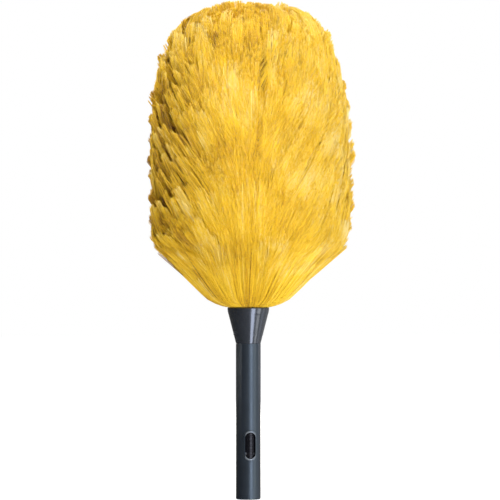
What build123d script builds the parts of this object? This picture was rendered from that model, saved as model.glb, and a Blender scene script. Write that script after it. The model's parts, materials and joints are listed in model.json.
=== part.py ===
from build123d import *
import math
import os

# Duster head for an extension pole: a socket tube with a release button, a flared collar, and
# a core rod carrying tiers of pile. +Z runs up the tool from the mouth of the pole socket at
# z = 0 to the crown of the pile, the release window faces -Y, and lengths are in millimetres.

os.makedirs("parts", exist_ok=True)

# ---------------------------------------------------------------- shared dimensions
tool_length = 508.0          # socket mouth to the highest pile
seat_gap = 0.05              # between pieces that rest on each other

# socket tube
tube_r = 25.4 / 2
tube_bore_r = 10.7           # lower bore, takes the latch housing and the pole's shoulder
tube_upper_bore_r = 10.2     # upper bore, takes the collar's spigot
tube_top_z = 159.1
tube_top_bevel = 0.25
bore_step_z = 84.0

# window for the release button
window_z = 55.1
window_h, window_w = 27.2, 10.8

# pole's locking stub and the catch
travel = 2.6                 # of the release button
stub_stop_z = 58.5
slot_z0, slot_z1 = 45.8, 48.2            # slot through the housing for the catch plate
slot_half_w = 9.0
plate_z0, plate_z1 = slot_z0 + 0.2, slot_z1 - 0.2
hole_r = 7.45                # stub hole through the button and the catch plate

# release button
flange_h, flange_w = 28.9, 12.6
flange_r = 10.4
button_back_y = -9.0         # back face of the button above the pole's stub

# coil spring behind the button
spring_z = 64.0
spring_seat_y = 6.5

# collar
web_z0, web_z1 = 163.0, 168.0            # floor under the core
boss_r = 10.4
boss_top_z = 189.0

# core and its screws
core_r = 8.0
core_top_z = 466.0
core_screw_r = 2.4
crown_screw_r = 1.75
washer_z0 = web_z0 - seat_gap - 1.2
cap_z = core_top_z + seat_gap            # where the cap rests on the core
cap_floor_z = cap_z + 2.4                # floor of the cap's screw well

# pile: roots along the core, tips along the envelope
root_z0, root_z1 = 199.0, 452.0
root_r = 9.75
pile_base_z = 196.4
tiers = 9
gap = 0.5                    # each side of the cup surface between two tiers

# Half section of the pile's outer face, as (r, z): the flare's underside, then the wall
# from the flare's rim to the crown.
flare = [
    (22.3, pile_base_z), (26.5, 197.6), (33.5, 199.8), (42.0, 204.2), (54.0, 215.7),
    (66.0, 227.6), (78.3, 240.0), (90.2, 252.4), (99.2, 264.8),
]
wall = [
    flare[-1], (100.9, 285.0), (101.0, 320.0), (101.0, 360.0), (100.4, 385.0),
    (98.6, 405.0), (94.8, 424.0), (90.0, 445.0), (83.2, 465.0), (74.6, 483.0),
    (64.0, 495.2), (49.5, 502.8), (32.0, 506.6), (14.0, 507.8), (0.0, tool_length),
]


# ---------------------------------------------------------------- helpers
def save(name, piece):
    """Label a finished piece and write its STEP file."""
    piece.part.label = name
    export_step(piece.part, f"parts/{name}.step")


def revolved(outline):
    """A solid turned about Z from a closed outline of (r, z) points."""
    with BuildPart() as piece:
        with BuildSketch(Plane.XZ):
            with BuildLine():
                Polyline(*outline, close=True)
            make_face()
        revolve(axis=Axis.Z)
    return piece


def lowest_rims(piece, radius):
    """The lowest circular edges of a given radius."""
    circles = piece.edges().filter_by(GeomType.CIRCLE)
    return circles.filter_by(lambda e: abs(e.radius - radius) < 0.01).group_by(Axis.Z)[0]


blank_half_h = 25.0          # half height of the cylinders that the window's shapes are cut from
blank_z0 = window_z - blank_half_h


def curved_slot(radius, back_y, height, width):
    """An upright slot shape at the window, flat at the back, with a cylindrical front face."""
    with BuildPart() as piece:
        with BuildSketch(Plane.XY.offset(blank_z0)):
            Circle(radius)
        extrude(amount=2 * blank_half_h)
        with BuildSketch(Plane.XZ.offset(-back_y)):
            with Locations((0, window_z)):
                SlotOverall(height, width, rotation=90)
        extrude(amount=12, mode=Mode.INTERSECT)
    return piece.part


# ---------------------------------------------------------------- socket tube
lip_h, lip_w = 31.4, 14.6
lip_r = 13.45                # crown of the raised lip round the window
lip_round = 0.5
tube_end_round = 0.9
mouth_chamfer = 0.8


def window_lip():
    with BuildPart() as lip:
        add(curved_slot(lip_r, -6, lip_h, lip_w))
        fillet(lip.edges().filter_by(lambda e: e.center().Y < -11.0), lip_round)
    return lip.part


def socket_tube():
    lip = window_lip()
    with BuildPart() as tube:
        with BuildSketch(Plane.XZ):
            with BuildLine():
                Polyline(
                    (tube_bore_r, 0),
                    (tube_r, 0),
                    (tube_r, tube_top_z - tube_top_bevel),
                    (tube_r - tube_top_bevel, tube_top_z),
                    (tube_upper_bore_r, tube_top_z),
                    (tube_upper_bore_r, bore_step_z),
                    (tube_bore_r, bore_step_z),
                    close=True,
                )
            make_face()
        revolve(axis=Axis.Z)
        fillet(lowest_rims(tube, tube_r), tube_end_round)
        chamfer(lowest_rims(tube, tube_bore_r), mouth_chamfer)
        add(lip)
        # clear the lip out of the bore
        with BuildSketch(Plane.XY):
            Circle(tube_bore_r)
        extrude(amount=bore_step_z, mode=Mode.SUBTRACT)
        with BuildSketch(Plane.XZ.offset(6)):
            with Locations((0, window_z)):
                SlotOverall(window_h, window_w, rotation=90)
        extrude(amount=12, mode=Mode.SUBTRACT)
    return tube


# ---------------------------------------------------------------- latch housing
housing_r = tube_bore_r - 0.1
housing_z0 = 12.0            # leaves a shallow register for the pole's shoulder
housing_h = bore_step_z - 0.2 - housing_z0
housing_chamfer = 0.6
stub_bore_r = 7.1            # takes the pole's 14 mm locking stub
stub_bore_chamfer = 1.2
stub_guide_z = 40.0          # above here the bore is eased, so the stub's nose can't jam
stub_nose_r = 7.4
opening_margin = 0.5         # front opening's height and width over the button's flange
opening_back_y = -3.2
block_top_z = 73.0
block_w = 16.0
block_back_y, block_front_y = 6.0, -6.2
spring_hole_r = 3.3
hollow_z = 74.5
hollow_r = 7.4


def latch_housing():
    with BuildPart() as housing:
        with BuildSketch(Plane.XY.offset(housing_z0)):
            Circle(housing_r)
        extrude(amount=housing_h)
        chamfer(housing.edges().filter_by(GeomType.CIRCLE), housing_chamfer)
        # bore for the pole's stub
        with BuildSketch(Plane.XY.offset(housing_z0)):
            Circle(stub_bore_r)
        extrude(amount=stub_stop_z - housing_z0, mode=Mode.SUBTRACT)
        chamfer(lowest_rims(housing, stub_bore_r), stub_bore_chamfer)
        with BuildSketch(Plane.XY.offset(stub_guide_z)):
            Circle(stub_nose_r)
        extrude(amount=stub_stop_z - stub_guide_z, mode=Mode.SUBTRACT)
        # front opening for the button's flange
        with BuildSketch(Plane.XZ.offset(-opening_back_y)):
            with Locations((0, window_z)):
                SlotOverall(flange_h + opening_margin, flange_w + opening_margin, rotation=90)
        extrude(amount=9, mode=Mode.SUBTRACT)
        # solid block above the stub's stop, with its face set back for the button's travel
        with BuildSketch(Plane.XZ.offset(-block_back_y)):
            with Locations((0, (stub_stop_z + block_top_z) / 2)):
                Rectangle(block_w, block_top_z - stub_stop_z)
        extrude(amount=block_back_y - block_front_y)
        with BuildSketch(Plane.XY.offset(housing_z0)):
            Circle(housing_r)
        extrude(amount=housing_h, mode=Mode.INTERSECT)
        # slot for the catch plate, front to back
        with BuildSketch(Plane.XY.offset(slot_z0)):
            Rectangle(2 * slot_half_w, 30)
        extrude(amount=slot_z1 - slot_z0, mode=Mode.SUBTRACT)
        # blind seat for the spring
        with BuildSketch(Plane.XZ.offset(-spring_seat_y)):
            with Locations((0, spring_z)):
                Circle(spring_hole_r)
        extrude(amount=spring_seat_y + 12, mode=Mode.SUBTRACT)
        # hollow top, which saves material
        with BuildSketch(Plane.XY.offset(hollow_z)):
            Circle(hollow_r)
        extrude(amount=20, mode=Mode.SUBTRACT)
    return housing


# ---------------------------------------------------------------- release button
pad_h, pad_w = 26.2, 9.9
pad_r = 11.1                 # the pad sits below the tube's surface
pad_round = 0.4
rib_count = 5
rib_pitch = 4.8
rib_w, rib_h = 7.4, 1.9
rib_r = 11.85
rib_back_y = -10.2
rib_round = 0.55
upper_back_z = stub_stop_z - 0.2         # the flat back starts here
tongue_w, tongue_depth = 14.0, 5.0       # seat for the catch plate's front tongue
tongue_y = -8.0
peg_r = 1.7
peg_length = 1.6


def button_pad():
    with BuildPart() as pad:
        add(curved_slot(pad_r, -7, pad_h, pad_w))
        fillet(pad.edges().filter_by(lambda e: e.center().Y < -9.7), pad_round)
    return pad.part


def button_ribs():
    middle = rib_count // 2
    with BuildPart() as ribs:
        with BuildSketch(Plane.XY.offset(blank_z0)):
            Circle(rib_r)
        extrude(amount=2 * blank_half_h)
        with BuildSketch(Plane.XZ.offset(-rib_back_y)):
            with Locations(*[(0, window_z + rib_pitch * (i - middle)) for i in range(rib_count)]):
                SlotOverall(rib_w, rib_h)
        extrude(amount=3, mode=Mode.INTERSECT)
        fillet(ribs.edges().filter_by(lambda e: e.center().Y < -10.9), rib_round)
    return ribs.part


def release_button():
    flange = curved_slot(flange_r, -4, flange_h, flange_w)
    pad = button_pad()
    ribs = button_ribs()
    with BuildPart() as button:
        add(flange)
        add(pad)
        add(ribs)
        # clears the pole's stub when the button is pushed in
        with BuildSketch(Plane.XY.offset(blank_z0)):
            with Locations((0, -travel)):
                Circle(hole_r)
        extrude(amount=upper_back_z - blank_z0, mode=Mode.SUBTRACT)
        # flat back above the stub
        with BuildSketch(Plane.XY.offset(upper_back_z)):
            with Locations((0, button_back_y + 10)):
                Rectangle(30, 20)
        extrude(amount=20, mode=Mode.SUBTRACT)
        # seat for the catch plate's front tongue
        with BuildSketch(Plane.XY.offset(plate_z0 - seat_gap)):
            with Locations((0, tongue_y)):
                Rectangle(tongue_w, tongue_depth)
        extrude(amount=plate_z1 - plate_z0 + 2 * seat_gap, mode=Mode.SUBTRACT)
        # peg that keeps the spring on centre, sunk 0.1 into the button
        with BuildSketch(Plane.XZ.offset(-button_back_y - peg_length)):
            with Locations((0, spring_z)):
                Circle(peg_r)
        extrude(amount=peg_length + 0.1)
    return button


# ---------------------------------------------------------------- catch plate
plate_r = flange_r - 0.06
plate_half_w = slot_half_w - 0.15


def catch_plate():
    with BuildPart() as plate:
        with BuildSketch(Plane.XY.offset(plate_z0)):
            Circle(plate_r)
            # stays inside the tube when pushed back by the travel
            with Locations((0, -travel)):
                Circle(plate_r, mode=Mode.INTERSECT)
            Rectangle(2 * plate_half_w, 40, mode=Mode.INTERSECT)
            with Locations((0, -travel)):
                Circle(hole_r, mode=Mode.SUBTRACT)
        extrude(amount=plate_z1 - plate_z0)
    return plate


# ---------------------------------------------------------------- button spring
spring_mean_r = 2.5
wire_r = 0.32
spring_turns = 7.0
spring_end_gap = 0.02


def button_spring():
    front_y = button_back_y + wire_r + spring_end_gap
    length = spring_seat_y - wire_r - spring_end_gap - front_y
    with BuildPart() as spring:
        with BuildLine() as coil:
            Helix(
                pitch=length / spring_turns,
                height=length,
                radius=spring_mean_r,
                center=(0, front_y, spring_z),
                direction=(0, 1, 0),
            )
        with BuildSketch(Plane(origin=coil.line @ 0, z_dir=coil.line % 0)):
            Circle(wire_r)
        sweep(path=coil.line)
    return spring


# ---------------------------------------------------------------- collar
collar_top_z = 196.0
collar_top_r = 21.3
collar_wall = 2.1
shoulder_r, shoulder_z = 20.15, 188.4    # top of the straight cone
spigot_r = tube_upper_bore_r - 0.1
spigot_bore_r = 7.6
spigot_z = 131.0
spigot_chamfer = 0.6
rib_mid_r = 12.5             # middle of the ribs round the boss
boss_rib_l, boss_rib_w, boss_rib_h = 5.6, 1.6, 9.0


def collar():
    foot = (tube_r, tube_top_z + tube_top_bevel)
    shoulder = (shoulder_r, shoulder_z)
    rim = (collar_top_r, collar_top_z - 1.2)
    inner_r = collar_top_r - collar_wall
    with BuildPart() as piece:
        with BuildSketch(Plane.XZ):
            with BuildLine():
                Line(foot, shoulder)
                ThreePointArc(shoulder, (20.98, 191.6), rim)
                Polyline(
                    rim,
                    (collar_top_r - 0.15, collar_top_z - 0.45),
                    (collar_top_r - 0.6, collar_top_z),
                    (inner_r, collar_top_z),
                    (inner_r - 0.1, 191.0),
                    (shoulder_r - collar_wall - 0.4, 187.0),
                    (13.6, web_z1),
                    (0, web_z1),
                    (0, web_z0),
                    (spigot_bore_r, web_z0),
                    (spigot_bore_r, spigot_z),
                    (spigot_r - spigot_chamfer, spigot_z),
                    (spigot_r, spigot_z + spigot_chamfer),
                    (spigot_r, tube_top_z),
                    (tube_r - tube_top_bevel, tube_top_z),
                    foot,
                )
            make_face()
        revolve(axis=Axis.Z)
        # boss and ribs that hold the core upright
        with BuildSketch(Plane.XY.offset(web_z1)):
            Circle(boss_r)
        extrude(amount=boss_top_z - web_z1)
        with BuildSketch(Plane.XY.offset(web_z1)):
            with PolarLocations(0, 6):
                with Locations((rib_mid_r, 0)):
                    Rectangle(boss_rib_l, boss_rib_w)
        extrude(amount=boss_rib_h)
        # core socket and the screw's hole
        with BuildSketch(Plane.XY.offset(web_z1)):
            Circle(core_r + seat_gap)
        extrude(amount=30, mode=Mode.SUBTRACT)
        with BuildSketch(Plane.XY.offset(web_z0)):
            Circle(core_screw_r + 0.3)
        extrude(amount=10, mode=Mode.SUBTRACT)
    return piece


# ---------------------------------------------------------------- base disc
def base_disc():
    bore_r = core_r + 0.1
    bottom_z = boss_top_z + seat_gap
    top_z = 195.8
    return revolved([
        (bore_r, bottom_z), (boss_r, bottom_z), (boss_r + 0.6, 193.2), (16.4, 193.2),
        (16.4, 192.0), (18.3, 192.0), (18.75, 192.6), (18.75, 195.2), (18.2, top_z),
        (bore_r, top_z),
    ])


# ---------------------------------------------------------------- core and its fixings
core_chamfer = 0.8
thread_gap = 0.03            # round each screw in the core


def core_rod():
    bottom_z = web_z1 + seat_gap
    with BuildPart() as rod:
        with BuildSketch(Plane.XY.offset(bottom_z)):
            Circle(core_r)
        extrude(amount=core_top_z - bottom_z)
        chamfer(rod.edges().filter_by(GeomType.CIRCLE), core_chamfer)
        with BuildSketch(Plane.XY.offset(web_z1)):
            Circle(core_screw_r + thread_gap)
        extrude(amount=27, mode=Mode.SUBTRACT)
        with BuildSketch(Plane.XY.offset(core_top_z - 20)):
            Circle(crown_screw_r + thread_gap)
        extrude(amount=30, mode=Mode.SUBTRACT)
    return rod


def core_washer():
    with BuildPart() as washer:
        with BuildSketch(Plane.XY.offset(washer_z0)):
            Circle(6.4)
            Circle(core_screw_r + 0.25, mode=Mode.SUBTRACT)
        extrude(amount=web_z0 - seat_gap - washer_z0)
    return washer


def core_screw():
    """Screw pointing up, with its domed head below the washer."""
    seat_z = washer_z0 - seat_gap
    head_z = seat_z - 3.0
    tip_z = seat_z + 31.0
    head_r = 4.8
    with BuildPart() as screw:
        with BuildSketch(Plane.XZ):
            with BuildLine():
                Line((0, head_z), (2.6, head_z))
                ThreePointArc((2.6, head_z), (4.3, seat_z - 2.1), (head_r, seat_z - 0.6))
                Polyline(
                    (head_r, seat_z - 0.6), (head_r, seat_z), (core_screw_r, seat_z),
                    (core_screw_r, seat_z + 26.5), (0.4, tip_z), (0, tip_z), (0, head_z),
                )
            make_face()
        revolve(axis=Axis.Z)
        # cross recess
        with BuildSketch(Plane.XY.offset(head_z - 0.1)):
            Rectangle(4.4, 1.1)
            Rectangle(1.1, 4.4)
        extrude(amount=2.0, mode=Mode.SUBTRACT)
    return screw


# ---------------------------------------------------------------- crown cap and screw
def crown_cap():
    bore_r = core_r + 0.08
    skirt_r = core_r + 1.7
    skirt_z = cap_z - 6
    brim = (core_r + 4.2, cap_z - 2.0)
    well_r = 4.6
    well_top = (well_r, cap_z + 5.2)
    hole = crown_screw_r + 0.2
    with BuildPart() as cap:
        with BuildSketch(Plane.XZ):
            with BuildLine():
                Line((bore_r, skirt_z), (skirt_r, skirt_z))
                Line((skirt_r, skirt_z), brim)
                ThreePointArc(brim, (10.4, cap_z + 3.2), well_top)
                Polyline(
                    well_top, (well_r, cap_floor_z), (hole, cap_floor_z), (hole, cap_z),
                    (bore_r, cap_z), (bore_r, skirt_z),
                )
            make_face()
        revolve(axis=Axis.Z)
    return cap


def crown_screw():
    """Screw pointing down, with its domed head in the cap's well."""
    seat_z = cap_floor_z + seat_gap
    tip_z = seat_z - 18
    head_z = seat_z + 2.5
    head_r = 3.7
    with BuildPart() as screw:
        with BuildSketch(Plane.XZ):
            with BuildLine():
                Polyline(
                    (0, tip_z), (0.3, tip_z), (crown_screw_r, seat_z - 14.5),
                    (crown_screw_r, seat_z), (head_r, seat_z), (head_r, seat_z + 0.7),
                )
                ThreePointArc((head_r, seat_z + 0.7), (3.1, seat_z + 1.9), (1.9, head_z))
                Polyline((1.9, head_z), (0, head_z), (0, tip_z))
            make_face()
        revolve(axis=Axis.Z)
        # cross recess
        with BuildSketch(Plane.XY.offset(seat_z + 1.2)):
            Rectangle(3.4, 0.9)
            Rectangle(0.9, 3.4)
        extrude(amount=3, mode=Mode.SUBTRACT)
    return screw


# ---------------------------------------------------------------- bindings
binding_turns = 5
cord = 1.9                   # thickness of the cord


def binding(z):
    """Cord wound round the core from height z up, as stacked half rounds."""
    inner_r = core_r + seat_gap
    groove_r = core_r + 0.55
    crest_r = core_r + 1.5
    top_z = z + cord * binding_turns
    with BuildPart() as piece:
        with BuildSketch(Plane.XZ):
            with BuildLine():
                Line((inner_r, z), (groove_r, z))
                for i in range(binding_turns):
                    turn_z = z + cord * i
                    ThreePointArc(
                        (groove_r, turn_z),
                        (crest_r, turn_z + cord / 2),
                        (groove_r, turn_z + cord),
                    )
                Line((groove_r, top_z), (inner_r, top_z))
                Line((inner_r, top_z), (inner_r, z))
            make_face()
        revolve(axis=Axis.Z)
    return piece


# ---------------------------------------------------------------- pile
# Each tier of fibre is a cup that nests in the one below. A share is a place up the head,
# from 0 at the lowest roots and tips to 1 at the highest.
shares = [k / (tiers + 0.9) for k in range(tiers + 1)]
wall_step = 9.0              # least spacing of a tier's points along the wall
wall_margin = 1.5            # least height between those points and the tier's corners
cup_steps = 8
# A fibre's lean from +Z differs from its chord's by these degrees on a chord leaning by
# lean_chord, and in proportion on others.
root_lean, tip_lean = 26, 14
lean_chord = 54
root_pull, tip_pull = 0.42, 0.40         # Bezier handles, as parts of the chord


def point_along(points, share):
    """The point at a share of the length of a chain of points."""
    lengths = [math.dist(a, b) for a, b in zip(points, points[1:])]
    left = share * sum(lengths)
    for a, b, length in zip(points, points[1:], lengths):
        if left <= length or (a, b) == (points[-2], points[-1]):
            t = left / length
            return (a[0] + (b[0] - a[0]) * t, a[1] + (b[1] - a[1]) * t)
        left -= length


def wall_between(low, high):
    """Evenly spaced points on the wall between two shares, without the two ends."""
    total = sum(math.dist(a, b) for a, b in zip(wall, wall[1:]))
    n = max(2, int((high - low) * total / wall_step))
    return [point_along(wall, low + (high - low) * i / n) for i in range(1, n)]


def cup(share, shift):
    """A fibre's Bezier run from the core to the wall, as (r, z) points raised by shift."""
    tip = point_along(wall, share)
    root = (root_r, root_z0 + (root_z1 - root_z0) * share)
    reach = math.dist(root, tip)
    chord = math.degrees(math.atan2(tip[0] - root[0], tip[1] - root[1]))
    lean0 = math.radians(chord + root_lean * chord / lean_chord)
    lean1 = math.radians(chord - tip_lean * chord / lean_chord)
    pull0, pull1 = root_pull * reach, tip_pull * reach
    handle0 = (root[0] + pull0 * math.sin(lean0), root[1] + pull0 * math.cos(lean0))
    handle1 = (tip[0] - pull1 * math.sin(lean1), tip[1] - pull1 * math.cos(lean1))
    controls = (root, handle0, handle1, tip)
    run = []
    for i in range(cup_steps + 1):
        t = i / cup_steps
        weights = [(1 - t) ** 3, 3 * t * (1 - t) ** 2, 3 * t * t * (1 - t), t ** 3]
        r = sum(w * p[0] for w, p in zip(weights, controls))
        z = sum(w * p[1] for w, p in zip(weights, controls))
        run.append((r, shift + z))
    return run


def pile_tier(k):
    """Tier k, counted from 0 at the flare."""
    low, high = shares[k], shares[k + 1]
    lower = cup(low, gap) if k else [(root_r, pile_base_z)] + flare
    upper = cup(high, -gap)
    z_min = lower[-1][1] + wall_margin
    z_max = upper[-1][1] - wall_margin
    outer = [p for p in wall_between(low, high) if z_min < p[1] < z_max]
    return revolved(lower + outer + upper[::-1])


def pile_crown():
    # (r, z) over the top of the pile, then down round the hollow for the crown cap
    top = [(14.0, tool_length - 0.15), (0, tool_length)]
    hollow = [
        (0, 474.0), (6.0, 474.0), (13.2, 470.2), (13.2, 462.4), (10.9, 459.0), (root_r, 459.0),
    ]
    return revolved(cup(shares[tiers], gap) + top + hollow)


# ---------------------------------------------------------------- build and write the pieces
for make in (
    socket_tube, latch_housing, release_button, catch_plate, button_spring, collar,
    base_disc, core_rod, core_washer, core_screw, crown_cap, crown_screw, pile_crown,
):
    save(make.__name__, make())

for k in range(tiers):
    tier_root_z = root_z0 + (root_z1 - root_z0) * k / tiers
    save(f"binding_{k + 1}", binding(tier_root_z + 1.2))
    save(f"pile_tier_{k + 1}", pile_tier(k))
save("binding_crown", binding(root_z1 - 3.4))
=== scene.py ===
"""A duster standing upright on z = 0 with its axis along +Z: a plastic tube and collar below, and
above them a thick yellow fibre pile round the core.

The frame is in metres. The pile is worked out in millimetres, as (radius, z) round the axis, and
scaled when its meshes are made. The camera looks from near -Y. "View angle" is degrees round the
axis from the side facing the camera, + to the camera's right. A fibre's "share" is its place up
the pile, 0 to 1, and "along" runs from 0 at its root to 1 at the envelope.
"""
import json
import math

import bpy
import numpy as np
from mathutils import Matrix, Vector


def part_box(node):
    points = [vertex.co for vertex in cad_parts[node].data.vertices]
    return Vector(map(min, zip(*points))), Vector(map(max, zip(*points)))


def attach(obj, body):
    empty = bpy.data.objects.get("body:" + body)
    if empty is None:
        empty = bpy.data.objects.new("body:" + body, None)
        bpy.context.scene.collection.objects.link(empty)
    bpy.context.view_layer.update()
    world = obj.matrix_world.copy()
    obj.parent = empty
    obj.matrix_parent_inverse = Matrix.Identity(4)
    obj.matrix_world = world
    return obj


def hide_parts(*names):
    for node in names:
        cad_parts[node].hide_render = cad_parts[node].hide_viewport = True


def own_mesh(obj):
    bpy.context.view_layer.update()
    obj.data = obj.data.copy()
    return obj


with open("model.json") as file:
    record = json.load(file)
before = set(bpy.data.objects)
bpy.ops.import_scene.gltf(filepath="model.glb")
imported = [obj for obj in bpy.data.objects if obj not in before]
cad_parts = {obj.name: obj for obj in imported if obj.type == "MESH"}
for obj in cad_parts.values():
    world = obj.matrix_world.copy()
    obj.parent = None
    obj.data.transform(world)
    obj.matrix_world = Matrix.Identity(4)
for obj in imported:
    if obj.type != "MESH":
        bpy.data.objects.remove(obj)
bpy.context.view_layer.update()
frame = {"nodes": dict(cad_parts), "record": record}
rng = np.random.default_rng(20417)
density = 1.0

MM = 0.001
TAU = 2 * math.pi
CAMERA_TURN = math.radians(-10.0)
FRONT = CAMERA_TURN - math.pi / 2      # azimuth of the side facing the camera
RIGHT = np.array([math.cos(CAMERA_TURN), math.sin(CAMERA_TURN)])

# ---------------------------------------------------------------- shape of the pile, mm
TIERS = 9
ROOT_Z0, ROOT_Z1, ROOT_R = 199.0, 452.0, 9.75      # where the fibres leave the core

# cut ends of the pile, from the top of the flare to the crown (radius, z)
WALL = np.array([
    (99.2, 264.8), (100.9, 285.0), (101.0, 320.0), (101.0, 360.0), (100.4, 385.0),
    (98.6, 405.0), (94.8, 424.0), (90.0, 445.0), (83.2, 465.0), (74.6, 483.0),
    (64.0, 495.2), (49.5, 502.8), (32.0, 506.6), (14.0, 507.8), (0.0, 508.0)])
# underside of the pile, from the core outwards (radius, z)
FLARE = np.array([
    (12.0, 198.8), (17.0, 197.3), (22.3, 196.8), (26.5, 197.7), (33.5, 200.1),
    (42.0, 204.6), (54.0, 216.0), (66.0, 227.9), (78.3, 240.2), (90.2, 252.8),
    (98.4, 264.0), (103.4, 271.5), (106.5, 279.0)])
# line of the lowest fibres, core to wall
FLANK = np.concatenate([[(ROOT_R, 199.2)], FLARE[1:10], WALL[:1]])
# the whole envelope, collar to crown
ENVELOPE = np.concatenate([FLARE[2:10], [(97.2, 261.6)], [(100.6, 270.5)], WALL[1:]])


def chain_length(points):
    return np.linalg.norm(np.diff(points, axis=0), axis=1).sum()


ENVELOPE_LENGTH = chain_length(ENVELOPE)

PILE_NAMES = [f"pile_tier_{k + 1}" for k in range(TIERS)] + ["pile_crown"]
SHARES = [k / (TIERS + 0.9) for k in range(TIERS + 1)] + [1.0]     # bounds of the tiers

# partings: view angle, lowest z, highest z, half width
PARTINGS = [
    (8.5, 414, 450, 2.9), (6.0, 350, 386, 1.7), (-25, 452, 478, 1.3), (-38, 382, 404, 1.8),
    (31, 378, 398, 1.0), (-18, 402, 430, 1.0), (18, 330, 350, 0.9), (-52, 296, 330, 2.0),
    (-60, 356, 390, 2.2), (-46, 330, 352, 1.6)]
for _ in range(46):     # scattered round the back
    turn, bottom = rng.uniform(60, 300), rng.uniform(225, 462)
    PARTINGS.append((turn, bottom, bottom + rng.uniform(18, 42), rng.uniform(0.7, 1.8)))

# hollows between the locks: view angle, z, half width along the surface, half height
POCKETS = [
    (-66, 354, 12, 9), (-68, 313, 12, 11), (-60, 389, 15, 7), (-72, 281, 8, 8),
    (-58, 424, 10, 6), (-74, 333, 7, 6), (-76, 372, 7, 7), (-42, 383, 12, 5), (-50, 300, 7, 5),
    (150, 380, 10, 7), (196, 330, 11, 8), (214, 420, 10, 7), (238, 300, 10, 8)]
POCKET_R = 98.0

# the few locks that stand out of the outline: view angle, z, length along the fibre line
STRAYS = [
    (-88, 412, 1.035), (-92, 387, 1.045), (-89, 366, 1.03), (-93, 344, 1.05), (-90, 331, 1.03),
    (-88, 306, 1.04), (-91, 284, 1.045), (88, 421, 1.035), (91, 400, 1.04), (90, 358, 1.05),
    (89, 344, 1.07), (92, 322, 1.045), (90, 297, 1.055), (88, 279, 1.04), (-84, 448, 1.03),
    (-90, 470, 1.03), (93, 380, 1.035), (90, 474, 1.04), (-95, 268, 1.05)]


# ---------------------------------------------------------------- geometry helpers
def smooth(x, low, high):
    """0 below low, 1 above high, with an eased step between."""
    part = np.clip((x - low) / (high - low), 0, 1)
    return part * part * (3 - 2 * part)


def band(x, rise_from, rise_to, fall_from, fall_to):
    return smooth(x, rise_from, rise_to) * (1 - smooth(x, fall_from, fall_to))


def wrap(angle):
    return (angle + math.pi) % TAU - math.pi


def view_degrees(angle):
    return np.degrees(wrap(angle - FRONT))


def unit(vectors, guard=0.0):
    """Unit vectors; a small guard keeps a zero length from dividing."""
    return vectors / (np.linalg.norm(vectors, axis=-1, keepdims=True) + guard)


def quarter_turn(direction):
    """(radius, z) directions turned clockwise: out of the surface, when they run up it."""
    return np.stack([direction[..., 1], -direction[..., 0]], -1)


def polar(radius, angle, z):
    points = np.broadcast_arrays(radius * np.cos(angle), radius * np.sin(angle), z)
    return np.stack(points, -1)


def along_chain(points, share):
    """Points at shares of a polyline's length, carried straight on past its end."""
    steps = np.linalg.norm(np.diff(points, axis=0), axis=1)
    reached = np.concatenate([[0], np.cumsum(steps)])
    distance = np.asarray(share, float) * reached[-1]
    on_chain = np.stack([np.interp(distance, reached, points[:, k]) for k in range(2)], -1)
    beyond = np.maximum(distance - reached[-1], 0)[..., None]
    return on_chain + beyond * ((points[-1] - points[-2]) / steps[-1])


def chain_normal(points, share, gap):
    """Outward unit normal (radius, z), measured over a gap either side of each share."""
    ahead = along_chain(points, np.clip(share + gap, 0, 1))
    behind = along_chain(points, np.clip(share - gap, 0, 1))
    return quarter_turn(unit(ahead - behind, 1e-9))


def envelope_at(arc):
    """Point and outward normal (radius, z) of the envelope, arc mm up from the collar."""
    share = np.clip(arc / ENVELOPE_LENGTH, 0, 1)
    return along_chain(ENVELOPE, share), chain_normal(ENVELOPE, share, 0.012)


def tips_and_roots(share):
    root_z = ROOT_Z0 + (ROOT_Z1 - ROOT_Z0) * share
    return along_chain(WALL, share), np.stack([np.full_like(share, ROOT_R), root_z], -1)


def free_cup(share, along, lean_shift):
    """Fibre lines as Bezier curves that rise from the core and bend over to the wall."""
    tip, root = tips_and_roots(share)
    reach = np.linalg.norm(tip - root, axis=-1)
    chord = np.arctan2(tip[:, 0] - root[:, 0], tip[:, 1] - root[:, 1])
    root_lean = chord * 1.30
    tip_lean = np.maximum(chord * 0.80 + lean_shift, 0.0)
    root_handle = root + 0.42 * reach[:, None] * np.stack([np.sin(root_lean), np.cos(root_lean)], -1)
    tip_handle = tip - 0.40 * reach[:, None] * np.stack([np.sin(tip_lean), np.cos(tip_lean)], -1)
    part = along[..., None]
    return ((1 - part) ** 3 * root[:, None] + 3 * part * (1 - part) ** 2 * root_handle[:, None]
            + 3 * part * part * (1 - part) * tip_handle[:, None] + part ** 3 * tip[:, None])


def cup(share, along, lean_shift=0.0):
    """(radius, z) of fibres: share (n,), along (n, m). The lowest fibres follow the flank."""
    low = (1 - smooth(share, 0.0, 0.32))[:, None, None]
    tip, root = tips_and_roots(share)
    part = along[..., None]
    flank = (along_chain(FLANK, along) + (tip[:, None] - WALL[0]) * part ** 2
             + (root[:, None] - FLANK[0]) * (1 - part))
    return flank * low + free_cup(share, along, lean_shift) * (1 - low)


def flare_line(along, mix):
    """(radius, z) of flare fibres, mixed towards the fibre line a tenth of the way up."""
    inner = cup(np.full(len(along), 0.10), along)
    return along_chain(FLARE, along) * (1 - mix) + inner * mix


# ---------------------------------------------------------------- unevenness over the pile
def field(angle, z, seed, scale=1.0):
    """A smooth wandering value, about -1 to 1."""
    own = np.random.default_rng(seed)
    total = 0.0
    for _ in range(9):
        waves = own.integers(1, 9)
        pitch = own.uniform(0.02, 0.085) * scale
        total = total + own.uniform(0.5, 1.0) * np.sin(
            waves * angle * scale + pitch * z * own.choice([-1, 1]) + own.uniform(0, TAU))
    return total / 2.2


def streak(angle, z, seed, fewest, most):
    """Long streaks running up the pile, about -1 to 1."""
    own = np.random.default_rng(seed)
    total = 0.0
    for _ in range(16):
        total = total + np.sin(own.integers(fewest, most) * angle
                               + own.uniform(-0.035, 0.035) * z + own.uniform(0, TAU))
    return total / 4.0


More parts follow.
